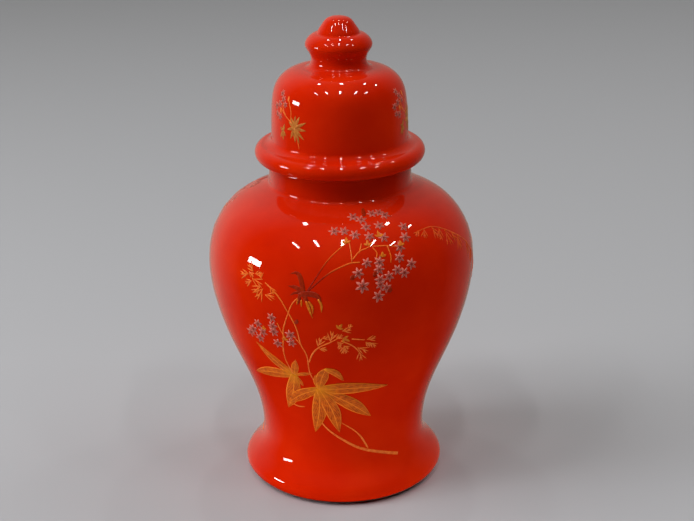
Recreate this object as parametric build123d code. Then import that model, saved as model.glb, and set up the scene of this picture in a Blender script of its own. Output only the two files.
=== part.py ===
from build123d import *
import os

# A lidded ginger jar in glazed bone china: a slip-cast jar with a spreading foot, a domed lid with a
# rolled flange that rests on the neck, and a turned knob luted to the lid's crown.
# Millimetres, +Z up. The origin is the centre of the foot ring's standing face.

# Driving dimensions
TOTAL_HEIGHT = 260.0
WALL = 4.5                  # thickness of the cast wall of jar and lid
REST_GAP = 0.3              # glaze to glaze, where the lid rests on the neck

FOOT_RING_OUTER = 50.5      # standing ring, radii
FOOT_RING_INNER = 44.5
FOOT_RECESS = 3.5           # depth of the hollow under the base
FOOT_RADIUS = 55.8          # widest part of the spreading foot
FOOT_Z = 6.0
WAIST_RADIUS = 45.6
WAIST_Z = 32.0
BELLY_RADIUS = 72.5
BELLY_Z = 124.0
NECK_RADIUS = 38.4
SHOULDER_Z = 170.0          # where the shoulder meets the neck
RIM_Z = 182.7               # top of the neck

SEAT_Z = RIM_Z + REST_GAP   # underside of the lid's flange
FLANGE_RADIUS = 45.8
FLANGE_ROLL = 4.5           # radius of the flange's rounded edge
DOME_RADIUS = 36.7
DOME_Z = 195.5              # where the flange sweeps up into the dome
CROWN_Z = 232.8             # flat crown that the knob stands on
SKIRT_CLEARANCE = 1.0       # between the lid's skirt and the inside of the neck, all round
SKIRT_WALL = 3.0
SKIRT_DEPTH = 13.0

KNOB_FOOT_RADIUS = 15.8
KNOB_WAIST_RADIUS = 14.7
KNOB_RING_RADIUS = 17.8
KNOB_RING_Z = 245.0
KNOB_TIP_RADIUS = 11.3      # foot of the small bell-shaped tip
KNOB_TIP_Z = 251.2

NECK_BORE = NECK_RADIUS - WALL + 0.3
SKIRT_OUTER = NECK_BORE - SKIRT_CLEARANCE
SKIRT_INNER = SKIRT_OUTER - SKIRT_WALL

OUT = (1, 0)                # outline directions, as (radial, height)
IN = (-1, 0)
UP = (0, 1)


def curve(*points, start, end):
    """A smooth line through points, leaving and arriving in the given directions."""
    return Spline(*points, tangents=[start, end], tangent_scalars=(1, 1))


def inset(outline, wall, stations):
    """Points one wall thickness inside an outline that runs upwards, at fractions of its length."""
    points = []
    for station in stations:
        along = outline % station
        points.append(outline @ station + Vector(-along.Y, along.X) * wall)
    return points


def turned(name, lines):
    """Close the lines into half a section, turn it about the jar's axis and write it out."""
    section = Plane.XZ * make_face(lines)
    solid = revolve(section, axis=Axis.Z)
    export_step(solid, f"parts/{name}.step")


def jar_body():
    """Spreading foot, waist, full belly and shoulder, with a short straight neck."""
    outer = curve(
        (FOOT_RING_OUTER, 0),
        (FOOT_RADIUS, FOOT_Z),
        (48.3, 17.5),
        (WAIST_RADIUS, WAIST_Z),
        (50.6, 54.5),
        (62.0, 82.0),
        (70.4, 108.5),
        (BELLY_RADIUS, BELLY_Z),
        (69.2, 145.0),
        (57.8, 160.0),
        (NECK_RADIUS, SHOULDER_Z),
        start=(0.85, 0.53),
        end=(-0.88, 0.48),
    )
    floor_z = FOOT_RECESS + WALL
    corner, *side = inset(outer, WALL, (0.09, 0.125, 0.16, 0.21, 0.33, 0.50, 0.66, 0.78, 0.88, 0.96))
    floor_edge = Vector(corner.X - 7.0, floor_z)
    bore_foot = Vector(NECK_BORE, SHOULDER_Z - 2.0)
    inner = curve(floor_edge, corner, *side, bore_foot, start=OUT, end=(-0.9, 0.45))
    rim_middle = Vector((NECK_RADIUS + NECK_BORE) / 2, RIM_Z)
    lip = (NECK_RADIUS - NECK_BORE) / 2
    turned("jar_body", [
        Line((FOOT_RING_INNER, 0), (FOOT_RING_OUTER, 0)),
        outer,
        Line((NECK_RADIUS, SHOULDER_Z), (NECK_RADIUS, RIM_Z - lip)),
        ThreePointArc((NECK_RADIUS, RIM_Z - lip), rim_middle, (NECK_BORE, RIM_Z - lip)),
        Line((NECK_BORE, RIM_Z - lip), bore_foot),
        inner,
        Line(floor_edge, (0, floor_z)),
        Line((0, floor_z), (0, FOOT_RECESS)),
        Line((0, FOOT_RECESS), (FOOT_RING_INNER - 2.0, FOOT_RECESS)),
        Line((FOOT_RING_INNER - 2.0, FOOT_RECESS), (FOOT_RING_INNER, 0)),
    ])


def lid():
    """Dome on a rolled flange, hollow inside, with a skirt that drops into the neck."""
    roll_centre = FLANGE_RADIUS - FLANGE_ROLL
    roll_top = SEAT_Z + 2 * FLANGE_ROLL
    dome = curve(
        (DOME_RADIUS, DOME_Z),
        (36.1, 213.0),
        (33.0, 225.6),
        (26.5, 231.2),
        (KNOB_FOOT_RADIUS, CROWN_Z),
        start=UP,
        end=IN,
    )
    skirt_z = SEAT_Z - SKIRT_DEPTH
    hollow = inset(dome, WALL, (0.06, 0.30, 0.48, 0.62, 0.76, 0.90))
    hollow_top = Vector(0, CROWN_Z - WALL)
    hollow_side = Vector(SKIRT_INNER, SEAT_Z)
    turned("lid", [
        Line((SKIRT_INNER, skirt_z), (SKIRT_OUTER, skirt_z)),
        Line((SKIRT_OUTER, skirt_z), (SKIRT_OUTER, SEAT_Z)),
        Line((SKIRT_OUTER, SEAT_Z), (roll_centre, SEAT_Z)),
        ThreePointArc(
            (roll_centre, SEAT_Z),
            (FLANGE_RADIUS, SEAT_Z + FLANGE_ROLL),
            (roll_centre, roll_top),
        ),
        curve((roll_centre, roll_top), (DOME_RADIUS, DOME_Z), start=IN, end=UP),
        dome,
        Line((KNOB_FOOT_RADIUS, CROWN_Z), (0, CROWN_Z)),
        Line((0, CROWN_Z), hollow_top),
        curve(hollow_side, *hollow, hollow_top, start=UP, end=IN),
        Line(hollow_side, (SKIRT_INNER, skirt_z)),
    ])


def lid_knob():
    """Waisted stem, a rounded ring and a small bell-shaped tip, solid, luted to the lid's crown."""
    turned("lid_knob", [
        Line((0, CROWN_Z), (KNOB_FOOT_RADIUS, CROWN_Z)),
        curve(
            (KNOB_FOOT_RADIUS, CROWN_Z),
            (KNOB_WAIST_RADIUS, 236.4),
            (15.9, 241.0),
            (KNOB_RING_RADIUS, KNOB_RING_Z),
            (15.9, 249.0),
            (KNOB_TIP_RADIUS, KNOB_TIP_Z),
            start=(-0.6, 0.8),
            end=IN,
        ),
        curve(
            (KNOB_TIP_RADIUS, KNOB_TIP_Z),
            (9.1, 255.2),
            (6.5, 258.4),
            (0, TOTAL_HEIGHT),
            start=(-0.25, 1),
            end=IN,
        ),
        Line((0, TOTAL_HEIGHT), (0, CROWN_Z)),
    ])


os.makedirs("parts", exist_ok=True)
jar_body()
lid()
lid_knob()
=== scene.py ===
import math

import bmesh
import bpy
import numpy as np
from mathutils import Matrix, Vector


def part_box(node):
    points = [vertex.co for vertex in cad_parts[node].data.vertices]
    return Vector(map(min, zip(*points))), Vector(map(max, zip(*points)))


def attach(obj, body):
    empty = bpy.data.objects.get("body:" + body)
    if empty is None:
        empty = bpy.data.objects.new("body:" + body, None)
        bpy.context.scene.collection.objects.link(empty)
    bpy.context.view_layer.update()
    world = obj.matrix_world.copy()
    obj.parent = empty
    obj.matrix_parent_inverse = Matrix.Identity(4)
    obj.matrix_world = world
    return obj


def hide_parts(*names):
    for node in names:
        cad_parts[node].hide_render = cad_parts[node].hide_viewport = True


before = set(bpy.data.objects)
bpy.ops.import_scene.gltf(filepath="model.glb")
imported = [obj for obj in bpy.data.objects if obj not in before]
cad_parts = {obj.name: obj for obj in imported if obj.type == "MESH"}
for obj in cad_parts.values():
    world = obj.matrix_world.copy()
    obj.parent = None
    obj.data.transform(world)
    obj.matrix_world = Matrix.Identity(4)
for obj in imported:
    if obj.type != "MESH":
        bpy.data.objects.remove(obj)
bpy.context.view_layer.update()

# Camera: a long lens, a little above the lid and looking down on the jar, which stands upright in
# the frame. The small roll belongs to the camera: the jar does not lean.
camera = bpy.data.objects.new("camera", bpy.data.cameras.new("camera"))
camera.data.lens = 78.8
camera.data.sensor_width = 36.0
camera.data.clip_start = 0.05
camera.location = (0.0, -0.7843, 0.4240)
look = Matrix.Rotation(math.radians(-0.23), 4, "Z")
tilt = Matrix.Rotation(math.radians(90 - 20.97), 4, "X")
roll = Matrix.Rotation(math.radians(-0.63), 4, "Z")
camera.rotation_euler = (look @ tilt @ roll).to_euler()
bpy.context.scene.collection.objects.link(camera)
bpy.context.scene.camera = camera
bpy.context.scene.view_settings.view_transform = "Standard"


# Jar body: bone china, slip-cast in one piece with its foot and neck, walls about 4.5 mm thick. It is
# dipped in an opaque orange-red glaze outside and a clear one inside; the foot ring is wiped bare.
MM = 0.001
IN = (-1, 0)
UP = (0, 1)
WALL = 4.5
TURN_STEPS = 160
WELD = 0.002


def fair(stations, start=None, end=None, step=1.2):
    """A smooth line through the stations: a cubic spline with the given end directions."""
    p = np.array(stations, float)
    chord = np.linalg.norm(np.diff(p, axis=0), axis=1)
    first = p[1] - p[0] if start is None else np.array(start, float)
    last = p[-1] - p[-2] if end is None else np.array(end, float)
    count = len(p)
    matrix = np.eye(count)
    slope = np.zeros_like(p)
    slope[0] = first / np.linalg.norm(first)
    slope[-1] = last / np.linalg.norm(last)
    for i in range(1, count - 1):
        before, after = chord[i - 1], chord[i]
        matrix[i, i - 1:i + 2] = after, 2 * (before + after), before
        slope[i] = 3 * (after * (p[i] - p[i - 1]) / before + before * (p[i + 1] - p[i]) / after)
    slope = np.linalg.solve(matrix, slope)
    line = [p[0]]
    for i, length in enumerate(chord):
        parts = max(1, math.ceil(length / step))
        for part in range(1, parts + 1):
            t = part / parts
            line.append(
                (1 + 2 * t) * (1 - t) ** 2 * p[i]
                + t * (1 - t) ** 2 * length * slope[i]
                + t * t * (3 - 2 * t) * p[i + 1]
                - t * t * (1 - t) * length * slope[i + 1]
            )
    return np.array(line)


def eased(lines, reach):
    """Lines joined end to end as stretches, with each corner rounded over its reach."""
    trimmed = [np.array(line, float) for line in lines]
    bends = []
    for i, radius in enumerate(reach):
        corner = trimmed[i][-1]
        kept = [q for q in trimmed[i] if np.linalg.norm(q - corner) > radius * 1.001]
        along = corner - kept[-1]
        start = corner - along / np.linalg.norm(along) * radius
        trimmed[i] = np.array(kept + [start])
        kept = [q for q in trimmed[i + 1] if np.linalg.norm(q - corner) > radius * 1.001]
        along = kept[0] - corner
        finish = corner + along / np.linalg.norm(along) * radius
        trimmed[i + 1] = np.array([finish] + kept)
        t = np.linspace(0, 1, 7)[:, None]
        bends.append((1 - t) ** 2 * start + 2 * t * (1 - t) * corner + t * t * finish)
    stretches = [trimmed[0]]
    for bend, line in zip(bends, trimmed[1:]):
        stretches.append(np.vstack([bend, line[1:]]))
    return stretches


def turned(name, stretches, materials):
    """One closed skin: each stretch of the section, in its own material, turned about the axis."""
    whole = bmesh.new()
    slots = list(dict.fromkeys(materials))
    for line, material in zip(stretches, materials):
        bm = bmesh.new()
        verts = [bm.verts.new((r * MM, 0, z * MM)) for r, z in line]
        edges = [bm.edges.new(pair) for pair in zip(verts, verts[1:])]
        bmesh.ops.spin(
            bm,
            geom=verts + edges,
            cent=(0, 0, 0),
            axis=(0, 0, 1),
            angle=2 * math.pi,
            steps=TURN_STEPS,
            use_merge=True,
        )
        for face in bm.faces:
            face.material_index = slots.index(material)
            face.smooth = True
        stretch = bpy.data.meshes.new("stretch")
        bm.to_mesh(stretch)
        bm.free()
        whole.from_mesh(stretch)
        bpy.data.meshes.remove(stretch)
    bmesh.ops.remove_doubles(whole, verts=whole.verts, dist=WELD * MM)
    bmesh.ops.recalc_face_normals(whole, faces=whole.faces)
    mesh = bpy.data.meshes.new(name)
    whole.to_mesh(mesh)
    whole.free()
    for slot_name in slots:
        mesh.materials.append(bpy.data.materials[slot_name])
    piece = bpy.data.objects.new(name, mesh)
    bpy.context.scene.collection.objects.link(piece)
    return piece


def node_maker(tree):
    """A function that adds a node to the tree, sets its values and wires sources into its sockets."""
    def node(kind, wires=(), **settings):
        made = tree.nodes.new("ShaderNode" + kind)
        for key, value in settings.items():
            if key in made.inputs:
                made.inputs[key].default_value = value
            else:
                setattr(made, key, value)
        for source, socket in wires:
            tree.links.new(source, made.inputs[socket])
        return made

    return node


def new_material(name):
    """A plain material: its shader, its node maker and a function that wires into the shader."""
    material = bpy.data.materials.new(name)
    material.use_nodes = True
    tree = material.node_tree
    shader = tree.nodes["Principled BSDF"]

    def wire(source, socket):
        tree.links.new(source, shader.inputs[socket])

    return shader, node_maker(tree), wire


def ramp(node, source, stops):
    """A colour ramp on a 0 to 1 signal, with its stops as (place, colour)."""
    made = node("ValToRGB", [(source, "Fac")])
    elements = made.color_ramp.elements
    while len(elements) < len(stops):
        elements.new(0.5)
    for element, (place, colour) in zip(elements, stops):
        element.position = place
        element.color = (*colour, 1.0)
    return made.outputs["Color"]


def spread(node, source, first, last, low=0.0, high=1.0):
    """A signal that runs from low to high, brought to the range from first to last."""
    made = node("MapRange", [(source, "Value")])
    for socket, value in (("From Min", low), ("From Max", high), ("To Min", first), ("To Max", last)):
        made.inputs[socket].default_value = value
    return made.outputs["Result"]


def mixed(node, factor, under, over, blend_type="MIX"):
    """A colour signal with one plain colour laid over it by a factor."""
    made = node("Mix", [(factor, "Factor"), (under, "A")], data_type="RGBA", blend_type=blend_type)
    made.inputs["B"].default_value = (*over, 1.0)
    return made.outputs["Result"]


def orange_glaze():
    """Opaque orange-red glaze: faint clouding, fine specks and slow waves in its skin."""
    shader, node, wire = new_material("orange_glaze")
    place = node("TexCoord").outputs["Object"]
    clouds = node("TexNoise", [(place, "Vector")], Scale=28.0, Detail=3.0, Roughness=0.55)
    colour = ramp(node, clouds.outputs["Fac"], [
        (0.30, (0.595, 0.0130, 0.0006)),
        (0.52, (0.645, 0.0170, 0.0009)),
        (0.75, (0.695, 0.0240, 0.0015)),
    ])
    specks = node("TexVoronoi", [(place, "Vector")], Scale=420.0)
    speck_mask = spread(node, specks.outputs["Distance"], 0.25, 0.0, high=0.10)
    wire(mixed(node, speck_mask, colour, (0.30, 0.005, 0.001)), "Base Color")
    waves = node("TexNoise", [(place, "Vector")], Scale=34.0, Detail=1.0)
    peel = node("TexNoise", [(place, "Vector")], Scale=260.0, Detail=2.0)
    low = node("Bump", [(waves.outputs["Fac"], "Height")], Strength=0.05, Distance=0.0012)
    skin = node("Bump", [(peel.outputs["Fac"], "Height"), (low.outputs["Normal"], "Normal")])
    skin.inputs["Strength"].default_value = 0.02
    skin.inputs["Distance"].default_value = 0.0002
    wire(skin.outputs["Normal"], "Normal")
    wire(spread(node, clouds.outputs["Fac"], 0.012, 0.035), "Roughness")
    shader.inputs["IOR"].default_value = 1.48


def clear_glaze():
    """Clear glaze over white bone china, with a faint warm clouding and a few iron specks."""
    shader, node, wire = new_material("clear_glaze")
    place = node("TexCoord").outputs["Object"]
    clouds = node("TexNoise", [(place, "Vector")], Scale=40.0, Detail=4.0)
    colour = ramp(node, clouds.outputs["Fac"], [
        (0.35, (0.74, 0.72, 0.66)),
        (0.70, (0.82, 0.81, 0.77)),
    ])
    specks = node("TexVoronoi", [(place, "Vector")], Scale=130.0)
    speck_mask = spread(node, specks.outputs["Distance"], 0.7, 0.0, high=0.07)
    wire(mixed(node, speck_mask, colour, (0.32, 0.24, 0.16)), "Base Color")
    waves = node("TexNoise", [(place, "Vector")], Scale=60.0, Detail=2.0)
    skin = node("Bump", [(waves.outputs["Fac"], "Height")], Strength=0.15, Distance=0.0008)
    wire(skin.outputs["Normal"], "Normal")
    shader.inputs["Roughness"].default_value = 0.12
    shader.inputs["IOR"].default_value = 1.5


def wiped_china():
    """Unglazed china, ground flat: matt, gritty, and grey where it has rubbed on shelves."""
    shader, node, wire = new_material("wiped_china")
    place = node("TexCoord").outputs["Object"]
    grime = node("TexNoise", [(place, "Vector")], Scale=90.0, Detail=6.0, Roughness=0.7)
    colour = ramp(node, grime.outputs["Fac"], [
        (0.35, (0.36, 0.32, 0.26)),
        (0.55, (0.62, 0.58, 0.50)),
        (0.80, (0.74, 0.71, 0.64)),
    ])
    wire(colour, "Base Color")
    grit = node("TexNoise", [(place, "Vector")], Scale=1400.0, Detail=3.0)
    skin = node("Bump", [(grit.outputs["Fac"], "Height")], Strength=0.5, Distance=0.0002)
    wire(skin.outputs["Normal"], "Normal")
    shader.inputs["Roughness"].default_value = 0.75


orange_glaze()
clear_glaze()
wiped_china()

jar_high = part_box("jar_body")[1]
RIM_Z = jar_high.z / MM
BELLY = jar_high.x / MM
BELLY_Z = 124
NECK = 38.4
NECK_Z = 170
NECK_WALL = 4.2
BORE = NECK - NECK_WALL
BORE_Z = 168
LIP = (NECK - BORE) / 2
LIP_Z = RIM_Z - LIP
FLOOR = 41
FLOOR_Z = 8.0
RECESS_Z = 3.5
RING_INNER = 44.5
RING_OUTER = 50.5

jar_outside = fair(
    [
        (RING_OUTER, 0),
        (55.8, 6),
        (48.3, 17.5),
        (45.6, 32),
        (50.6, 54.5),
        (62, 82),
        (70.4, 108.5),
        (BELLY, BELLY_Z),
        (69.2, 145),
        (57.8, 160),
        (NECK, NECK_Z),
    ],
    start=(0.85, 0.53),
    end=(-0.88, 0.48),
)
jar_inside = fair(
    [
        (BORE, BORE_Z),
        (52.5, 157.5),
        (65, 142),
        (BELLY - WALL, BELLY_Z),
        (66, 108),
        (57.7, 83),
        (46.2, 55),
        (41.1, 32),
        (44.5, 17.5),
        (47.4, 12.5),
        (FLOOR, FLOOR_Z),
    ],
    start=(0.9, -0.45),
    end=IN,
    step=2.0,
)
angles = np.radians(np.linspace(0, 180, 13))
rim = [((NECK + BORE) / 2 + LIP * math.cos(a), LIP_Z + LIP * math.sin(a)) for a in angles]
jar_stretches = eased(
    [
        fair([(FLOOR, RECESS_Z), (RING_INNER, 0)]),
        fair([(RING_INNER, 0), (RING_OUTER, 0)]),
        jar_outside,
        fair([(NECK, NECK_Z), (NECK, LIP_Z)], step=2.0),
    ],
    reach=[0.6, 0.5, 1.6],
)
jar = turned(
    "jar",
    [fair([(0, RECESS_Z), (FLOOR, RECESS_Z)], step=4.0)] + jar_stretches + [
        rim,
        fair([(BORE, LIP_Z), (BORE, BORE_Z)], step=2.0),
        jar_inside,
        fair([(FLOOR, FLOOR_Z), (0, FLOOR_Z)], step=4.0),
    ],
    ["clear_glaze", "clear_glaze", "wiped_china"] + ["orange_glaze"] * 3 + ["clear_glaze"] * 3,
)
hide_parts("jar_body")
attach(jar, "jar")


# Lid: cast like the jar, with a rolled flange that sits on the rim and a plain skirt that drops inside
# the neck. It is red outside and clear-glazed in its hollow; the skirt's outside and the seat under the
# flange are wiped bare, so that they don't stick to the jar in the kiln.
lid_low, lid_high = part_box("lid")
CROWN_Z = lid_high.z / MM
FLANGE = lid_high.x / MM
SEAT_GAP = 0.3
SEAT_Z = RIM_Z + SEAT_GAP
ROLL = 4.5
DOME = 36.7
DOME_Z = 195.5
SKIRT_GAP = 1.0
SKIRT_WALL = 3.0
SKIRT_OUTER = BORE - SKIRT_GAP
SKIRT_INNER = SKIRT_OUTER - SKIRT_WALL
SKIRT_Z = lid_low.z / MM
KNOB_FOOT = 15.8

roll_centre = FLANGE - ROLL
angles = np.radians(np.linspace(-90, 90, 21))
roll_edge = [
    (roll_centre + ROLL * math.cos(a), SEAT_Z + ROLL + ROLL * math.sin(a)) for a in angles
]
dome = fair(
    [(DOME, DOME_Z), (36.1, 213), (33, 225.6), (26.5, 231.2), (KNOB_FOOT, CROWN_Z)],
    start=UP,
    end=IN,
)
hollow = fair(
    [
        (SKIRT_INNER, SEAT_Z),
        (32.1, 198),
        (31.6, 212),
        (28.6, 222.8),
        (23.5, 227),
        (0, CROWN_Z - WALL),
    ],
    start=UP,
    end=IN,
    step=2.0,
)
skirt = eased(
    [
        fair([(SKIRT_INNER, SEAT_Z), (SKIRT_INNER, SKIRT_Z)], step=2.0),
        fair([(SKIRT_INNER, SKIRT_Z), (SKIRT_OUTER, SKIRT_Z)]),
        fair([(SKIRT_OUTER, SKIRT_Z), (SKIRT_OUTER, SEAT_Z)], step=2.0),
        fair([(SKIRT_OUTER, SEAT_Z), (roll_centre, SEAT_Z)]),
    ],
    reach=[1.0, 1.0, 0.8],
)
cove = fair([(roll_centre, SEAT_Z + 2 * ROLL), (DOME, DOME_Z)], start=IN, end=UP, step=0.5)
crown = fair([(KNOB_FOOT, CROWN_Z), (0, CROWN_Z)], step=4.0)
lid = turned(
    "lid_dome",
    [hollow[::-1]] + skirt + [roll_edge, cove, dome, crown],
    ["clear_glaze"] * 3 + ["wiped_china"] * 2 + ["orange_glaze"] * 4,
)
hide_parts("lid")
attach(lid, "lid")


# Knob: a solid turned finial, stuck to the crown with slip before glazing, so its foot flares out and
# melts into the dome. Above its waist stand a rounded ring and a small bell-shaped tip with a crease.
KNOB_FLARE = 19.4
KNOB_TIP = 11.3
KNOB_TIP_Z = 251.2
TOP_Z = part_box("lid_knob")[1].z / MM
SUNK = 0.2
FLARE_Z = np.interp(-KNOB_FLARE, -dome[:, 0], dome[:, 1]) - SUNK
knob_stretches = eased(
    [
        fair(
            [
                (KNOB_FLARE, FLARE_Z),
                (16.0, 233.9),
                (14.7, 237.2),
                (15.9, 241.2),
                (17.8, 245),
                (15.9, 249),
                (KNOB_TIP, KNOB_TIP_Z),
            ],
            start=(-0.97, 0.22),
            end=IN,
            step=0.6,
        ),
        fair(
            [(KNOB_TIP, KNOB_TIP_Z), (9.1, 255.2), (6.5, 258.4), (0, TOP_Z)],
            start=(-0.25, 1),
            end=IN,
            step=0.6,
        ),
    ],
    reach=[0.5],
)
knob = turned(
    "knob",
    [fair([(0, FLARE_Z), (KNOB_FLARE, FLARE_Z)], step=4.0)] + knob_stretches,
    ["orange_glaze"] * 3,
)
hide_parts("lid_knob")
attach(knob, "lid")


# Gold leaves: at the foot of each spray two leaves of narrow pointed lobes, printed in bright gold
# over the glaze and fired on. A paler line goes round every lobe and along its middle.
SPRAY_TURNS = (0, 135, 235)
PRINT_THICKNESS = 0.15
PRINT_WELD = 0.004
STROKE_CROWN = 0.05
STROKE_STEP = 1.1
SLOPE_STEP = 0.4


def on(line, angle, height, lift=0.0):
    """The point in mm on a turned line at an angle and a height, and the outward normal there."""
    heights = [height + SLOPE_STEP, height, height - SLOPE_STEP]
    r_above, r_here, r_below = np.interp(heights, line[:, 1], line[:, 0])
    a = math.radians(angle)
    away = np.array([math.sin(a), -math.cos(a), 0.0])
    normal = away - np.array([0, 0, (r_above - r_below) / (2 * SLOPE_STEP)])
    normal /= np.linalg.norm(normal)
    return away * r_here + np.array([0, 0, height]) + normal * lift, normal


def station(point):
    """The (angle from the front in degrees, height) of a point in mm."""
    return math.degrees(math.atan2(point[0], -point[1])), point[2]


def seat(line, point, lift):
    """The point moved onto the turned line at its own angle and height, then lifted off it."""
    return Vector(on(line, *station(point), lift)[0])


def stroke(bm, line, stations, width, root=0.3, tip=0.0, swell=0.45, lift=0.10, across=4):
    """One brush stroke through its stations, widest at swell; root and tip are shares of its width."""
    path = fair([on(line, *station)[0] for station in stations], step=0.4)
    run = np.concatenate([[0], np.cumsum(np.linalg.norm(np.diff(path, axis=0), axis=1))])
    count = max(5, round(run[-1] / STROKE_STEP))
    even = np.linspace(0, run[-1], count + 1)
    path = np.stack([np.interp(even, run, path[:, axis]) for axis in range(3)], axis=1)
    made = bmesh.ops.create_grid(bm, x_segments=count, y_segments=across, size=1, calc_uvs=True)
    for vert in made["verts"]:
        u, v = (vert.co.x + 1) / 2, vert.co.y
        i = round(u * count)
        along = path[min(i + 1, count)] - path[max(i - 1, 0)]
        middle = seat(line, path[i], 0)
        normal = on(line, *station(middle))[1]
        side = np.cross(normal, along)
        side /= np.linalg.norm(side)
        if u < swell:
            breadth = root + (1 - root) * math.sin(math.pi / 2 * u / swell)
        else:
            breadth = tip + (1 - tip) * (1 - ((u - swell) / (1 - swell)) ** 1.7)
        point = path[i] + side * v * breadth * width / 2
        vert.co = seat(line, point, lift - STROKE_CROWN * v * v) * MM


def lobe(bm, line, base, point, width, swell=0.5, bow=0.0, lift=0.10, root=0.45):
    """One lobe of a leaf from base to point, its middle pushed sideways by bow mm."""
    start, _ = on(line, *base)
    finish, _ = on(line, *point)
    middle, normal = on(line, (base[0] + point[0]) / 2, (base[1] + point[1]) / 2)
    side = np.cross(normal, finish - start)
    halfway = station(middle + side / np.linalg.norm(side) * bow)
    stroke(bm, line, [base, halfway, point], width, root=root, swell=swell, lift=lift, across=6)


def tuft(bm, line, root_at, tip_at, width, splay):
    """A pointed stroke with a shorter one on each side, splayed from it by so many degrees."""
    stroke(bm, line, [root_at, tip_at], width, swell=0.5)
    start, normal = on(line, *root_at)
    along = on(line, *tip_at)[0] - start
    across = np.cross(normal, along)
    for side in (-1, 1):
        a = side * math.radians(splay)
        point = start + 0.75 * (along * math.cos(a) + across * math.sin(a))
        stroke(bm, line, [root_at, station(point)], width * 0.8, swell=0.5, lift=0.12)


def ear(bm, line, root_at, tip_at, width, side=1):
    """An ear of grass: a fine stalk that ends in a seed, with slimmer seeds on alternate sides."""
    start, normal = on(line, *root_at)
    along = on(line, *tip_at)[0] - start
    across = np.cross(normal, along)
    stroke(bm, line, [root_at, tip_at], width * 0.8, root=0.35, swell=0.65, across=2)
    for place, size, slant in ((0.0, 0.86, 30), (0.15, 0.84, -26), (0.42, 0.62, 24)):
        a = side * math.radians(slant)
        foot = start + place * along
        point = foot + size * (along * math.cos(a) + across * math.sin(a))
        seed = [station(foot), station(point)]
        stroke(bm, line, seed, width * 0.68, root=0.2, swell=0.55, lift=0.13, across=2)


def printed(bm, name, material, body, turns):
    """Close a sheet of decoration into one piece, repeated round the pot at each turn in degrees."""
    first = bm.verts[:] + bm.edges[:] + bm.faces[:]
    for turn in turns:
        if turn == 0:
            continue
        copy = bmesh.ops.duplicate(bm, geom=first)
        verts = [item for item in copy["geom"] if isinstance(item, bmesh.types.BMVert)]
        spin = Matrix.Rotation(math.radians(turn), 3, "Z")
        bmesh.ops.rotate(bm, verts=verts, cent=(0, 0, 0), matrix=spin)
    bmesh.ops.remove_doubles(bm, verts=bm.verts, dist=PRINT_WELD * MM)
    bm.normal_update()
    inward = [face for face in bm.faces if face.normal.xy.dot(face.calc_center_median().xy) < 0]
    bmesh.ops.reverse_faces(bm, faces=inward)
    for face in bm.faces:
        face.smooth = True
    mesh = bpy.data.meshes.new(name)
    bm.to_mesh(mesh)
    bm.free()
    mesh.materials.append(bpy.data.materials[material])
    piece = bpy.data.objects.new(name, mesh)
    bpy.context.scene.collection.objects.link(piece)
    thickness = piece.modifiers.new("thickness", "SOLIDIFY")
    thickness.thickness = PRINT_THICKNESS * MM
    thickness.offset = -1
    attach(piece, body)


def sheet():
    """An empty bmesh with a UV layer, ready for strokes."""
    bm = bmesh.new()
    bm.loops.layers.uv.new("UVMap")
    return bm


def leaf_gold():
    """Gold leaf print: mottled brown-gold between a paler outline, midrib and fine side veins."""
    shader, node, wire = new_material("leaf_gold")
    place = node("TexCoord").outputs["Object"]
    across = node("SeparateXYZ", [(node("TexCoord").outputs["UV"], "Vector")])
    off_middle = node("Math", [(across.outputs["Y"], 0)], operation="SUBTRACT")
    off_middle.inputs[1].default_value = 0.5
    edge = node("Math", [(off_middle.outputs[0], 0)], operation="ABSOLUTE").outputs[0]
    mottle = node("TexNoise", [(place, "Vector")], Scale=420.0, Detail=4.0, Roughness=0.6)
    fill = ramp(node, mottle.outputs["Fac"], [
        (0.32, (0.43, 0.040, 0.001)),
        (0.50, (0.63, 0.085, 0.002)),
        (0.70, (0.83, 0.165, 0.003)),
    ])
    slant = node("Math", [(edge, 0), (across.outputs["X"], 2)], operation="MULTIPLY_ADD")
    slant.inputs[1].default_value = -0.85
    rib = node("Math", [(slant.outputs[0], 0)], operation="MULTIPLY")
    rib.inputs[1].default_value = 8.0
    tooth = node("Math", [(rib.outputs[0], 0)], operation="FRACT").outputs[0]
    veins = ramp(node, tooth, [
        (0.00, (0.8, 0.8, 0.8)),
        (0.20, (0, 0, 0)),
        (0.82, (0, 0, 0)),
        (1.00, (0.8, 0.8, 0.8)),
    ])
    veined = mixed(node, veins, fill, (0.88, 0.230, 0.010))
    lines = ramp(node, edge, [
        (0.000, (1, 1, 1)),
        (0.020, (1, 1, 1)),
        (0.050, (0, 0, 0)),
        (0.425, (0, 0, 0)),
        (0.460, (1, 1, 1)),
        (0.500, (1, 1, 1)),
    ])
    lined = mixed(node, lines, veined, (0.94, 0.250, 0.018))
    heart = spread(node, across.outputs["X"], 0.75, 0.0, high=0.30)
    wire(mixed(node, heart, lined, (0.86, 0.290, 0.006)), "Base Color")
    wire(spread(node, mottle.outputs["Fac"], 0.30, 0.46), "Roughness")
    skin = node("Bump", [(lines, "Height")], Strength=0.12, Distance=0.0001)
    wire(skin.outputs["Normal"], "Normal")
    shader.inputs["Metallic"].default_value = 0.1
    shader.inputs["Specular IOR Level"].default_value = 0.12


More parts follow.
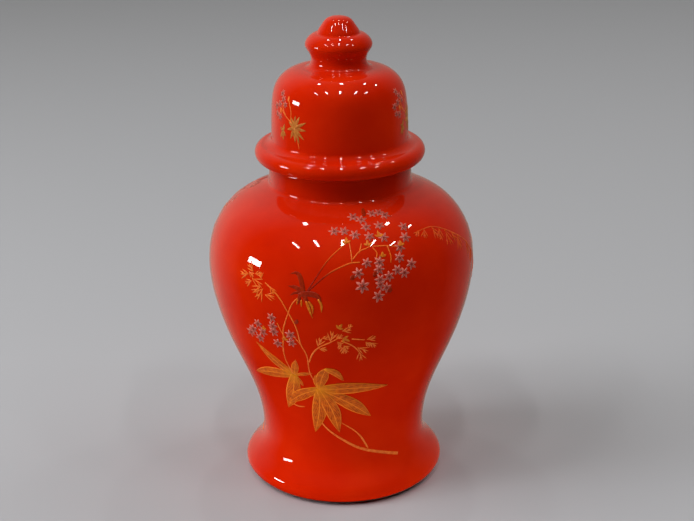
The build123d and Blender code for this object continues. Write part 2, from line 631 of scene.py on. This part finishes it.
leaf_gold()
leaves = sheet()
big, small = (-12.5, 72.5), (-24.5, 80.5)
for base, point, width, swell, bow, lift in (
    (small, (-42.5, 97.5), 5.8, 0.42, 1.0, 0.06),
    (small, (-53.5, 73.5), 7.0, 0.45, -1.5, 0.09),
    (small, (-14.5, 83.5), 2.4, 0.50, 0.0, 0.06),
    (small, (-22, 91.5), 4.2, 0.50, 0.0, 0.09),
    (small, (-21, 73), 3.0, 0.50, 0.0, 0.06),
    (small, (-36, 54), 8.5, 0.50, 1.5, 0.14),
    (big, (-34, 58.5), 7.4, 0.50, -1.0, 0.18),
    (big, (-19, 40.5), 8.2, 0.50, 1.2, 0.20),
    (big, (17.5, 51.5), 8.8, 0.55, 1.0, 0.20),
    (big, (-2.5, 41.5), 8.4, 0.50, 0.8, 0.24),
    (big, (24.5, 72.5), 8.6, 0.36, 1.0, 0.24),
    (big, (-13.5, 82.5), 4.0, 0.50, 0.0, 0.20),
):
    lobe(leaves, jar_outside, base, point, width, swell=swell, bow=bow, lift=lift)
stroke(leaves, jar_outside, [big, (-10.5, 80), (-7.5, 88)], 6.4, swell=0.6, lift=0.24, across=6)
stroke(leaves, jar_outside, [(-8.5, 87), (-4, 85), (0.5, 79)], 4.2, swell=0.4, lift=0.28)
printed(leaves, "spray_leaves", "leaf_gold", "jar", SPRAY_TURNS)


# Young leaf above: the same print, with curled lobes, at the head of the stem that leans to the left,
# in a darker brown gold that is painted shade. Its hanging lobes turn to bright gold at their tips, a
# painted highlight.
def plain_gold(name, dark, mid, light, metallic):
    """A plain gold print from dark where it is worn thin to light where it is thick."""
    shader, node, wire = new_material(name)
    place = node("TexCoord").outputs["Object"]
    wear = node("TexNoise", [(place, "Vector")], Scale=520.0, Detail=4.0, Roughness=0.65)
    wire(ramp(node, wear.outputs["Fac"], [(0.32, dark), (0.50, mid), (0.70, light)]), "Base Color")
    wire(spread(node, wear.outputs["Fac"], 0.28, 0.46), "Roughness")
    skin = node("Bump", [(wear.outputs["Fac"], "Height")], Strength=0.2, Distance=0.0001)
    wire(skin.outputs["Normal"], "Normal")
    shader.inputs["Metallic"].default_value = metallic
    shader.inputs["Specular IOR Level"].default_value = 0.2


# The darkest gold is painted shade on the young leaf, and the dark print of the buds and blossom eyes.
plain_gold("dark_gold", (0.27, 0.009, 0.0004), (0.34, 0.016, 0.0005), (0.43, 0.030, 0.0008), 0.0)
# The bright gold is a painted highlight on the young leaf's hanging tips, and the gold of the sepals.
plain_gold("bright_gold", (0.52, 0.090, 0.003), (0.70, 0.160, 0.006), (0.84, 0.260, 0.014), 0.1)
plain_gold("line_gold", (0.76, 0.098, 0.006), (0.88, 0.160, 0.014), (0.97, 0.245, 0.034), 0.0)

# The young leaf's strokes, all in the darkest gold as painted shade.
young = sheet()
heart = (-15.5, 132)
for thread, width, root, tip, swell, lift in (
    ([heart, (-16.5, 138), (-19, 142.5), (-22, 141.5)], 2.6, 0.9, 0.0, 0.45, 0.10),
    ([heart, (-18.5, 135), (-22.5, 135.5)], 2.4, 0.9, 0.0, 0.30, 0.13),
    ([heart, (-19, 132.5), (-21.5, 130.5)], 1.6, 0.8, 0.0, 0.30, 0.10),
    ([(-17, 132), (-13, 132.5), (-9.5, 131), (-8.3, 126.5)], 2.9, 0.7, 0.0, 0.45, 0.16),
    ([heart, (-14.5, 129), (-13, 125)], 2.4, 0.9, 0.4, 0.30, 0.13),
    ([(-17, 132.5), (-17.5, 129), (-18, 126)], 1.8, 0.9, 0.0, 0.30, 0.16),
):
    stroke(young, jar_outside, thread, width, root=root, tip=tip, swell=swell, lift=lift)
printed(young, "young_leaves", "dark_gold", "jar", SPRAY_TURNS)

# The young leaf's hanging tips, in bright gold as a painted highlight.
young_tips = sheet()
for thread, width, root, swell, lift in (
    ([(-9.5, 130), (-8.3, 127), (-8.3, 122.5)], 1.3, 0.8, 0.45, 0.18),
    ([(-14.5, 128.5), (-13.5, 125), (-12, 119)], 1.5, 0.6, 0.30, 0.18),
    ([(-13.5, 128.5), (-12, 125.5), (-11.8, 121.5)], 1.3, 0.5, 0.40, 0.21),
    ([(-16.5, 129), (-16.5, 125)], 0.9, 0.6, 0.45, 0.20),
    ([(-18, 129), (-18.5, 126)], 0.8, 0.6, 0.45, 0.20),
):
    stroke(young_tips, jar_outside, thread, width, root=root, swell=swell, lift=lift)
printed(young_tips, "young_leaf_tips", "bright_gold", "jar", SPRAY_TURNS)


# Stems: fine raised gold lines that carry the blossoms and grasses, and the thicker twig under the
# leaves, from which the whole spray springs.
stems = sheet()
for thread in (
    [(3.8, 157), (4.5, 150.5), (4.5, 148.5)],
    [(-16.5, 131), (-19, 128.5), (-22, 122), (-24, 115.5)],
    [(5, 149.5), (8.5, 153), (13, 154.5), (15, 156.5)],
    [(14.5, 154.5), (21.5, 154), (27.5, 152.5)],
    [(21.5, 154), (22, 148.5), (21.5, 146.5)],
    [(14.5, 154), (16, 151.5), (15, 148.5)],
    [(9.5, 156), (8, 152)],
    [(-28, 113.5), (-27, 110), (-25.5, 105.5)],
    [(-21, 107), (-18, 101.5)],
):
    stroke(stems, jar_outside, thread, 0.6, root=0.8, tip=0.7, lift=0.08, across=2)
for thread, width, root, tip in (
    ([(-24, 115.5), (-25.5, 110), (-26, 105.5), (-27, 99), (-27, 89), (-25, 81)], 0.65, 1, 1),
    (
        [
            (-25, 126.5), (-22.5, 121), (-20, 114.5), (-19, 110), (-18, 101.5), (-16.5, 97),
            (-16, 84), (-13, 74),
        ],
        0.65, 1, 1,
    ),
    ([(-33, 135), (-30.5, 133), (-27, 129.5), (-25, 126.5)], 0.8, 0.8, 1),
    ([(-15.5, 91), (-13.5, 96.5), (-10, 101.5), (-5, 105), (-2.5, 107)], 0.8, 1, 0.7),
    ([(-0.5, 106), (4, 103), (6.5, 100), (8, 97)], 0.8, 1, 0.7),
    ([(4, 107), (9.5, 106)], 0.7, 1, 0.8),
):
    stroke(stems, jar_outside, thread, width, root=root, tip=tip, across=2)
twig = [(-16, 50.5), (-11, 44), (0.5, 36), (9, 31.5), (24.5, 26.5), (40.5, 22)]
stroke(stems, jar_outside, twig, 1.7, root=0.45, tip=0.9, swell=0.95, lift=0.14)
fork = [(-1, 48), (6.5, 43), (12.5, 37), (17, 30)]
stroke(stems, jar_outside, fork, 1.0, root=0.5, tip=0.8, swell=0.9, across=2)
spur = [(-32.5, 58.5), (-28, 57), (-23.5, 57.5)]
stroke(stems, jar_outside, spur, 1.0, root=0.6, tip=0.6, across=2)
printed(stems, "spray_stems", "line_gold", "jar", SPRAY_TURNS)


# Two long stems from the young leaf to the upper blossoms, printed in one pull: their gold is painted
# shade as dark as the young leaf where they start, and brightens along the stem into a painted
# highlight.
def fading_gold():
    """Line gold with painted shade at the start of its stroke and a painted highlight at its end, with
    the same worn patches.
    """
    shader, node, wire = new_material("fading_gold")
    place = node("TexCoord").outputs["Object"]
    along = node("SeparateXYZ", [(node("TexCoord").outputs["UV"], "Vector")])
    # Painted shade at the start of each stroke, brightening into a painted highlight at its end.
    painted_shade_to_highlight = ramp(node, along.outputs["X"], [
        (0.00, (0.34, 0.010, 0.0005)),
        (0.35, (0.42, 0.016, 0.001)),
        (0.70, (0.86, 0.130, 0.010)),
        (1.00, (0.95, 0.200, 0.018)),
    ])
    wear = node("TexNoise", [(place, "Vector")], Scale=520.0, Detail=4.0, Roughness=0.65)
    # Worn patches laid over the painted shade and highlight.
    worn = mixed(node, wear.outputs["Fac"], painted_shade_to_highlight, (0.80, 0.72, 0.70), blend_type="MULTIPLY")
    wire(worn, "Base Color")
    wire(spread(node, wear.outputs["Fac"], 0.28, 0.46), "Roughness")
    shader.inputs["Specular IOR Level"].default_value = 0.15


fading_gold()
long_stems = sheet()
for thread, width in (
    ([(-14, 133.5), (-8.5, 140), (-2.5, 145), (0.5, 146.5), (4.5, 148), (8, 148)], 0.75),
    ([(-14, 134), (-10, 142), (-6, 149), (-1, 154), (2.5, 156.5), (4, 157.5)], 0.6),
):
    stroke(long_stems, jar_outside, thread, width, root=1, tip=0.8, lift=0.09, across=2)
printed(long_stems, "long_stems", "fading_gold", "jar", SPRAY_TURNS)


# Grasses: ears of grass in the same gold as the stems, each a fine stalk with pointed seeds on both
# sides, in loose heads at the top left of each spray and across its middle.
grass = sheet()
for root_at, tip_at, width in (
    ((-39.5, 139), (-43, 142.5), 1.7),
    ((-42, 137), (-47, 135.5), 1.9),
    ((-42, 138.5), (-39, 136.5), 1.5),
    ((-35, 136.5), (-35.5, 140), 1.6),
    ((-38.5, 138), (-35.5, 139), 1.3),
    ((-40, 134), (-43.5, 131.5), 1.7),
    ((-40, 135.5), (-34, 133.5), 1.5),
    ((-35, 132.5), (-39.5, 127.5), 1.7),
    ((-34, 131.5), (-37, 124.5), 1.8),
    ((-33, 128.5), (-28, 128.5), 1.6),
    ((-30.5, 133.5), (-28, 130), 1.5),
    ((-10.5, 102), (-8.5, 107.5), 1.9),
    ((-10, 100.5), (-6.5, 100.5), 1.7),
    ((-8.5, 107), (-5.5, 108), 1.3),
    ((-5, 105.5), (-3.5, 112), 1.9),
    ((-2.5, 107), (0.5, 109.5), 1.9),
    ((0, 112), (4, 112.5), 1.7),
    ((2.5, 113.5), (4, 116), 1.3),
    ((10.5, 106), (14.5, 106.5), 1.6),
    ((10, 104.5), (12.5, 102), 1.9),
    ((12, 104), (15, 101), 1.6),
    ((-2, 105.5), (0, 103), 1.5),
    ((0.5, 102), (0.5, 97.5), 1.7),
    ((1, 101), (2, 98), 1.3),
    ((0.5, 103), (3, 101), 1.5),
    ((-1, 103.5), (-1, 100.5), 1.3),
    ((7.5, 98.5), (9, 92.5), 1.8),
    ((6.5, 101.5), (11.5, 98.5), 1.5),
):
    side = 1 if tip_at[1] > root_at[1] else -1
    ear(grass, jar_outside, root_at, tip_at, width * 0.60, side)
printed(grass, "spray_grass", "line_gold", "jar", SPRAY_TURNS)


# Sepals and buds: small almond strokes of bright gold between the blossoms, and a few dark round
# buds on the stems.
sepals = sheet()
for root_at, tip_at in (
    ((2.5, 156.5), (2.5, 159.5)),
    ((19, 158), (19, 161)),
    ((12.5, 155), (12.5, 158)),
    ((28.5, 153), (28.5, 156)),
    ((18.5, 149.5), (18.5, 152.5)),
    ((-35.5, 107.5), (-35.5, 110.5)),
    ((-25.5, 103.5), (-25.5, 107)),
    ((-1.5, 113.5), (0.5, 117)),
    ((0.5, 107.5), (4, 105)),
):
    tip_at = tuple(0.2 * r + 0.8 * t for r, t in zip(root_at, tip_at))
    tuft(sepals, jar_outside, root_at, tip_at, 1.6, splay=60)
printed(sepals, "spray_sepals", "bright_gold", "jar", SPRAY_TURNS)

buds = sheet()
for root_at, tip_at in (
    ((14.5, 165.5), (15.5, 168)),
    ((4, 140), (5, 142.5)),
    ((19.5, 132), (20.5, 134.5)),
    ((13.5, 141), (14.5, 143.5)),
    ((-19.5, 115), (-18.5, 117.5)),
):
    stroke(buds, jar_outside, [root_at, tip_at], 2.2, root=0.6, tip=0.3, lift=0.18)
printed(buds, "spray_buds", "dark_gold", "jar", SPRAY_TURNS)


# Blossoms: six-petalled stars 6 to 8 mm across in a dusty lilac enamel, slightly raised, each with a
# small dark eye; about thirty stand in the upper cluster of a spray and a dozen at its left.
STAR_REACH = (1.0, 0.70, 0.38, 0.70)
STAR_STEP = math.radians(15)
ONE_PETAL = 1.05


def lilac_print():
    """Opaque dusty lilac enamel, streaked and duller toward the heart of each blossom."""
    shader, node, wire = new_material("lilac_print")
    place = node("TexCoord").outputs["Object"]
    middle = node("VectorMath", [(node("TexCoord").outputs["UV"], 0)], operation="DISTANCE")
    middle.inputs[1].default_value = (0.5, 0.5, 0.0)
    streaks = node("TexNoise", [(place, "Vector")], Scale=700.0, Detail=3.0)
    body = ramp(node, middle.outputs["Value"], [
        (0.10, (0.25, 0.020, 0.012)),
        (0.23, (0.52, 0.095, 0.065)),
        (0.42, (0.76, 0.180, 0.126)),
    ])
    streaked = mixed(node, streaks.outputs["Fac"], body, (0.72, 0.66, 0.70), blend_type="MULTIPLY")
    wire(streaked, "Base Color")
    skin = node("Bump", [(streaks.outputs["Fac"], "Height")], Strength=0.25, Distance=0.0001)
    wire(skin.outputs["Normal"], "Normal")
    wire(spread(node, streaks.outputs["Fac"], 0.28, 0.44), "Roughness")


def blossom(petals, eyes, line, angle, height, size, spin):
    """One six-petalled star of the given tip radius in mm, with its round eye in the second sheet."""
    centre, normal = on(line, angle, height)
    east = np.array([math.cos(math.radians(angle)), math.sin(math.radians(angle)), 0.0])
    north = np.cross(normal, east)
    for bm, segments, radius, rise in ((petals, 24, size, 0.12), (eyes, 8, size * 0.15, 0.17)):
        made = bmesh.ops.create_circle(
            bm,
            cap_ends=True,
            cap_tris=True,
            segments=segments,
            radius=1,
            calc_uvs=True,
        )
        for vert in made["verts"]:
            away = vert.co.xy.length
            turn = math.atan2(vert.co.y, vert.co.x)
            reach = STAR_REACH[round(turn / STAR_STEP) % 4] if bm is petals else 1
            x = away * reach * radius * math.cos(turn + spin)
            y = away * reach * radius * math.sin(turn + spin)
            vert.co = seat(line, centre + east * x + north * y, rise - away * 0.07) * MM


lilac_print()
chance = np.random.default_rng(7)
petals, eyes = sheet(), sheet()
for angle, height in (
    (7.5, 165.5), (12, 164.5), (20, 166), (25, 166), (27.5, 165), (13.5, 162), (21, 162),
    (34, 160), (32, 156), (-3.5, 161), (1.5, 161), (7, 159.5), (14, 158.5), (21, 157.5),
    (27.5, 152.5), (26, 148), (11, 147.5), (16.5, 147.5), (16, 144), (31, 144), (24, 142.5),
    (27, 140.5), (7, 143), (20, 140), (16, 139), (16, 136.5), (18.5, 134.5),
    (-38.5, 110), (-42, 105.5), (-44, 103), (-36.5, 105.5), (-39, 101), (-30.5, 116),
    (-30.5, 111), (-30.5, 107.5), (-29.5, 100.5), (-22.5, 107.5), (-22.5, 102.5),
):
    size = chance.uniform(3.0, 3.4)
    blossom(petals, eyes, jar_outside, angle, height, size, chance.uniform(0, ONE_PETAL))
blossom(petals, eyes, jar_outside, 8.5, 136.5, 4.1, 0.4)
blossom(petals, eyes, jar_outside, 15, 130.5, 3.6, 0.2)
printed(petals, "spray_blossoms", "lilac_print", "jar", SPRAY_TURNS)
printed(eyes, "spray_blossom_eyes", "dark_gold", "jar", SPRAY_TURNS)


# Lid sprays: three small ones of the same print round the dome, each a bright leaf of narrow points
# with a fainter one beside it and a loose head of blossoms above on two fine stems.
LID_TURNS = (0, 118, 238)

plain_gold("pale_gold", (0.40, 0.095, 0.010), (0.54, 0.165, 0.022), (0.70, 0.270, 0.042), 0.1)
lid_leaves = sheet()
for base, width, points in (
    ((-40, 207.5), 1.8, (
        (-39, 214.4), (-34.5, 214.2), (-28, 211.5), (-28, 207), (-30, 202), (-34.5, 199.8),
        (-39, 199.8), (-44, 201.5), (-48, 206), (-46.5, 210.5), (-43.5, 213),
    )),
    ((-53.5, 204.5), 1.7, (
        (-57.5, 200.5), (-53.5, 199.5), (-50, 202), (-57.5, 206), (-51.5, 208.5),
    )),
):
    for place, point in enumerate(points):
        lift = 0.08 + 0.03 * (place % 3)
        lobe(lid_leaves, dome, base, point, width, swell=0.4, lift=lift, root=0.5)
printed(lid_leaves, "lid_leaves", "pale_gold", "lid", LID_TURNS)

lid_stems = sheet()
for thread in (
    [(-41, 209), (-44.5, 210.5), (-50, 212.5), (-57, 216)],
    [(-44.5, 210.5), (-44, 215), (-48, 221)],
    [(-50, 212.5), (-54.5, 216.5), (-55, 219)],
):
    stroke(lid_stems, dome, thread, 0.6, root=1, tip=0.7, lift=0.08, across=2)
stroke(lid_stems, dome, [(-39.5, 206), (-36.5, 201), (-35, 196.8)], 0.6, root=1, tip=0.6, across=2)
stroke(lid_stems, dome, [(-48.5, 220.5), (-49, 223)], 1.5, root=0.5, tip=0.3)
stroke(lid_stems, dome, [(-57, 213.5), (-58, 216.5)], 1.6, root=0.5, tip=0.3, lift=0.16)
printed(lid_stems, "lid_stems", "line_gold", "lid", LID_TURNS)

lid_petals, lid_eyes = sheet(), sheet()
for angle, height, size in (
    (-59, 223.5, 2.2),
    (-55.5, 221, 2.2),
    (-52, 218.5, 2.0),
    (-65, 216.5, 2.3),
    (-59.5, 218, 2.3),
    (-58.5, 211.5, 2.4),
    (-63, 212.5, 2.0),
):
    blossom(lid_petals, lid_eyes, dome, angle, height, size, chance.uniform(0, ONE_PETAL))
printed(lid_petals, "lid_blossoms", "lilac_print", "lid", LID_TURNS)
printed(lid_eyes, "lid_blossom_eyes", "dark_gold", "lid", LID_TURNS)


# One long stem of grass: it springs from the second spray and arches round the shoulder toward the
# front one, with pointed seed heads on both sides, in gold worn thin enough to let the red through.
plain_gold("worn_gold", (0.66, 0.048, 0.003), (0.76, 0.085, 0.006), (0.86, 0.140, 0.012), 0.0)
arch = sheet()
stalk = [(110, 82), (98, 101), (88, 118), (80, 131), (71, 143), (60, 152), (49, 157), (40, 157)]
stroke(arch, jar_outside, stalk, 0.9, root=1, tip=0.5, across=2)
for root_at, tip_at in (
    ((41, 157), (37.5, 155.5)),
    ((44.5, 157), (42, 153.5)),
    ((50, 156.5), (50.5, 151)),
    ((54, 155), (51, 150)),
    ((57.5, 153.5), (57, 145.5)),
    ((61, 151), (63, 146)),
    ((65, 148.5), (63.5, 140.5)),
    ((71.5, 142.5), (72.5, 135)),
    ((76, 137), (73.5, 130)),
    ((81, 129.5), (81, 121)),
    ((86, 121), (83.5, 115)),
):
    ear(arch, jar_outside, root_at, tip_at, 1.0)
printed(arch, "arching_grass", "worn_gold", "jar", (0,))


# Floor and light: a wide pale sheet, a soft box on each side, a small bright window on the left,
# short strip lights overhead, a glow off the sheet close round the foot, and a dim surround.
WARM_WHITE = (1.0, 0.98, 0.95)
COOL_WHITE = (0.96, 0.98, 1.0)
STRIP_Z = 2.15
STRIP_WIDTH = 0.07
STRIP_WATTS_PER_METRE = 10.75
GLOW_WIDTH = 0.4

floor = bpy.data.objects.new("floor", bpy.data.meshes.new("floor"))
bm = bmesh.new()
bmesh.ops.create_grid(bm, x_segments=2, y_segments=2, size=6.0)
bm.to_mesh(floor.data)
bm.free()
shader, node, wire = new_material("pale_floor")
shader.inputs["Base Color"].default_value = (0.42, 0.43, 0.46, 1.0)
shader.inputs["Roughness"].default_value = 0.9
floor.data.materials.append(bpy.data.materials["pale_floor"])
bpy.context.scene.collection.objects.link(floor)
floor.visible_glossy = False


def area_light(name, place, target, size, power, colour, seen_in_gloss=True):
    """A rectangular light at place, facing target, in metres and watts."""
    lamp = bpy.data.lights.new(name, "AREA")
    lamp.shape = "RECTANGLE"
    lamp.size, lamp.size_y = size
    lamp.energy = power
    lamp.color = colour
    light = bpy.data.objects.new(name, lamp)
    light.location = place
    light.rotation_euler = (Vector(target) - Vector(place)).to_track_quat("-Z", "Y").to_euler()
    light.visible_glossy = seen_in_gloss
    light.visible_camera = False
    bpy.context.scene.collection.objects.link(light)
    return light


area_light("left_softbox", (-1.5, -0.3, 1.6), (0, 0, 0.12), (1.2, 1.2), 23, WARM_WHITE, False)
area_light("right_softbox", (1.6, 0.3, 1.6), (0, 0, 0.12), (1.2, 1.2), 9.5, WARM_WHITE, False)
area_light("left_window", (-1.18, -0.24, 0.36), (0, 0, 0.14), (0.30, 0.15), 3.8, COOL_WHITE)
for y, length, row in (
    (-0.89, 0.50, (-1.35, -0.65, 0.04, 0.86)),
    (-0.80, 0.36, (1.58,)),
    (0.6, 0.16, (-0.58,)),
    (0.6, 0.22, (0.06, 0.8, 1.5)),
):
    for x in row:
        power = STRIP_WATTS_PER_METRE * length
        area_light("strip", (x, y, STRIP_Z), (x, y, 0), (STRIP_WIDTH, length), power, WARM_WHITE)
foot_glow = area_light(
    "foot_glow", (0, 0, 0.002), (0, 0, 1), (GLOW_WIDTH, GLOW_WIDTH), 0.29, WARM_WHITE, False
)
foot_glow.data.shape = "DISK"

world = bpy.data.worlds.new("surround")
world.use_nodes = True
bpy.context.scene.world = world
node = node_maker(world.node_tree)
direction = node("SeparateXYZ", [(node("TexCoord").outputs["Generated"], "Vector")])
behind = spread(node, direction.outputs["Y"], 0.0, 1.0, low=0.10, high=0.75)
across = spread(node, direction.outputs["X"], 0.48, 0.17, low=-0.60, high=0.60)
overhead = spread(node, direction.outputs["Z"], 0.0, 0.07, low=0.55, high=0.95)
underfoot = spread(node, direction.outputs["Z"], 0.0, 1.0, low=-0.70, high=-0.42)
back_wall = node("Math", [(behind, 0), (across, 1)], operation="MULTIPLY").outputs[0]
above_floor = node("Math", [(back_wall, 0), (overhead, 1)], operation="MAXIMUM").outputs[0]
level = node("Math", [(above_floor, 0), (underfoot, 1)], operation="MULTIPLY").outputs[0]
surround = world.node_tree.nodes["Background"]
surround.inputs["Color"].default_value = (1.0, 0.97, 0.84, 1)
world.node_tree.links.new(level, surround.inputs["Strength"])
backdrop = node("Background", Color=(0.33, 0.335, 0.345, 1))
seen = node("LightPath").outputs["Is Camera Ray"]
shown = node("MixShader", [(seen, 0), (surround.outputs[0], 1), (backdrop.outputs[0], 2)])
surface = world.node_tree.nodes["World Output"].inputs["Surface"]
world.node_tree.links.new(shown.outputs[0], surface)
